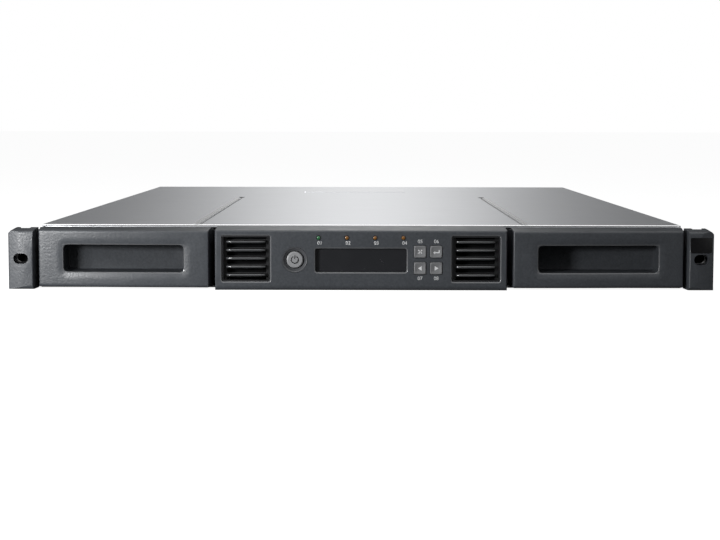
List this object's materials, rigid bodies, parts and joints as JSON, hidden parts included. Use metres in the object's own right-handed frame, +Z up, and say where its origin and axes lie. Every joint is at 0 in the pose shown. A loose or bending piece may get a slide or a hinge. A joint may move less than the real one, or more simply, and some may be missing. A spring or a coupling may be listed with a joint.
{
  "type": "data tape library",
  "caption": "One-unit rack-mount tape library with two pull-out cartridge magazines, an operator panel, a robot on rails, a tape drive and rear fans.",
  "frame": {"origin": "on the underside, on the centre line, at the rear face of the rack ears (the rack mounting plane)", "axes": "+X to the right seen from the front, +Y to the rear, +Z up"},
  "size_m": [0.4826, 0.7565, 0.0435],
  "materials": {
    "cover_steel": "satin galvanised sheet",
    "tray_steel": "satin zinc-plated sheet",
    "ear_steel": "fine-textured black powder coat",
    "front_mould": "fine spark-eroded grain",
    "grille_mould": "fine spark-eroded grain",
    "badge_gloss": "polished",
    "window_tint": "polished, tinted",
    "display_black": "satin",
    "lamp_clear": "translucent light pipe",
    "board_green": "solder resist",
    "key_mould": "satin",
    "button_mould": "satin",
    "ring_mould": "satin",
    "mag_tray_mould": "satin",
    "cartridge_mould": "fine grain",
    "guide_mould": "natural acetal",
    "rod_steel": "ground and polished",
    "bracket_alloy": "machined",
    "gear_brass": "machined",
    "rack_steel": "machined",
    "motor_black": "satin",
    "reader_mould": "satin",
    "table_alloy": "sheet, satin",
    "drive_steel": "satin zinc-plated sheet",
    "drive_mould": "satin",
    "supply_steel": "satin zinc-plated sheet",
    "inlet_mould": "satin",
    "port_steel": "plated shell",
    "fan_mould": "satin",
    "screw_steel": "zinc plated",
    "screw_black": "black oxide"
  },
  "bodies": {
    "chassis": {"base_tray": "tray_steel", "top_cover": "cover_steel", "lock_patch": "cover_steel", "rear_panel": "tray_steel", "cover_screws": "screw_steel", "left_rack_ear": "ear_steel", "right_rack_ear": "ear_steel", "left_ear_cap": "front_mould", "right_ear_cap": "front_mould", "badge_plate": "badge_gloss", "ear_screws": "screw_black", "front_panel": "front_mould", "left_vent_grille": "grille_mould", "right_vent_grille": "grille_mould", "power_ring": "ring_mould", "display_window": "window_tint", "display_module": "display_black", "status_lamps": "lamp_clear", "panel_board": "board_green", "board_screws": "screw_steel", "left_magazine_guide": "guide_mould", "right_magazine_guide": "guide_mould", "guide_rods": "rod_steel", "front_rod_bracket": "bracket_alloy", "rear_rod_bracket": "bracket_alloy", "drive_rack": "rack_steel", "drive_body": "drive_steel", "drive_face": "drive_mould", "drive_sled": "tray_steel", "sled_handle": "screw_black", "sled_thumbscrews": "screw_steel", "power_supply": "supply_steel", "power_inlet": "inlet_mould", "controller_board": "board_green", "port_block": "port_steel", "left_fan_frame": "fan_mould", "right_fan_frame": "fan_mould"},
    "left_magazine": {"left_magazine_front": "front_mould", "left_magazine_tray": "mag_tray_mould", "left_cartridges": "cartridge_mould"},
    "right_magazine": {"right_magazine_front": "front_mould", "right_magazine_tray": "mag_tray_mould", "right_cartridges": "cartridge_mould"},
    "power_button": {"power_button": "button_mould"},
    "back_key": {"back_key": "key_mould"},
    "enter_key": {"enter_key": "key_mould"},
    "previous_key": {"previous_key": "key_mould"},
    "next_key": {"next_key": "key_mould"},
    "carriage": {"carriage_plate": "bracket_alloy", "transport_motor": "motor_black", "turn_motor": "motor_black", "code_reader": "reader_mould"},
    "drive_pinion": {"drive_pinion": "gear_brass"},
    "turntable": {"turntable": "table_alloy", "picker_motor": "motor_black"},
    "picker": {"picker": "guide_mould"},
    "left_fan_rotor": {"left_fan_rotor": "fan_mould"},
    "right_fan_rotor": {"right_fan_rotor": "fan_mould"}
  },
  "joints": [
    {"name": "left_magazine_slide", "type": "slide", "parent": "chassis", "child": "left_magazine", "axis": [0, -1, 0], "range_m": [0, 0.45]},
    {"name": "right_magazine_slide", "type": "slide", "parent": "chassis", "child": "right_magazine", "axis": [0, -1, 0], "range_m": [0, 0.45]},
    {"name": "power_press", "type": "slide", "parent": "chassis", "child": "power_button", "axis": [0, 1, 0], "range_m": [0, 0.0015], "stiffness_N_per_m": 600, "springref_m": -0.001},
    {"name": "back_press", "type": "slide", "parent": "chassis", "child": "back_key", "axis": [0, 1, 0], "range_m": [0, 0.001], "stiffness_N_per_m": 600, "springref_m": -0.001},
    {"name": "enter_press", "type": "slide", "parent": "chassis", "child": "enter_key", "axis": [0, 1, 0], "range_m": [0, 0.001], "stiffness_N_per_m": 600, "springref_m": -0.001},
    {"name": "previous_press", "type": "slide", "parent": "chassis", "child": "previous_key", "axis": [0, 1, 0], "range_m": [0, 0.001], "stiffness_N_per_m": 600, "springref_m": -0.001},
    {"name": "next_press", "type": "slide", "parent": "chassis", "child": "next_key", "axis": [0, 1, 0], "range_m": [0, 0.001], "stiffness_N_per_m": 600, "springref_m": -0.001},
    {"name": "carriage_travel", "type": "slide", "parent": "chassis", "child": "carriage", "axis": [0, 1, 0], "range_m": [-0.324, 0]},
    {"name": "pinion_spin", "type": "hinge", "parent": "carriage", "child": "drive_pinion", "pos_m": [0.085, 0.359, 0.005], "axis": [0, 0, 1], "range_deg": [-1, 1858]},
    {"name": "turntable_turn", "type": "hinge", "parent": "carriage", "child": "turntable", "pos_m": [0, 0.419, 0.0124], "axis": [0, 0, 1], "range_deg": [-90, 90]},
    {"name": "picker_reach", "type": "slide", "parent": "turntable", "child": "picker", "axis": [0, 1, 0], "range_m": [0, 0.034]},
    {"name": "left_fan_spin", "type": "hinge", "parent": "chassis", "child": "left_fan_rotor", "pos_m": [-0.1892, 0.7098, 0.0214], "axis": [0, 1, 0], "continuous": true},
    {"name": "right_fan_spin", "type": "hinge", "parent": "chassis", "child": "right_fan_rotor", "pos_m": [0.1892, 0.7098, 0.0214], "axis": [0, 1, 0], "continuous": true}
  ],
  "couplings": [
    {"joint": "pinion_spin", "follows": "carriage_travel", "rad_per_m": -100}
  ]
}
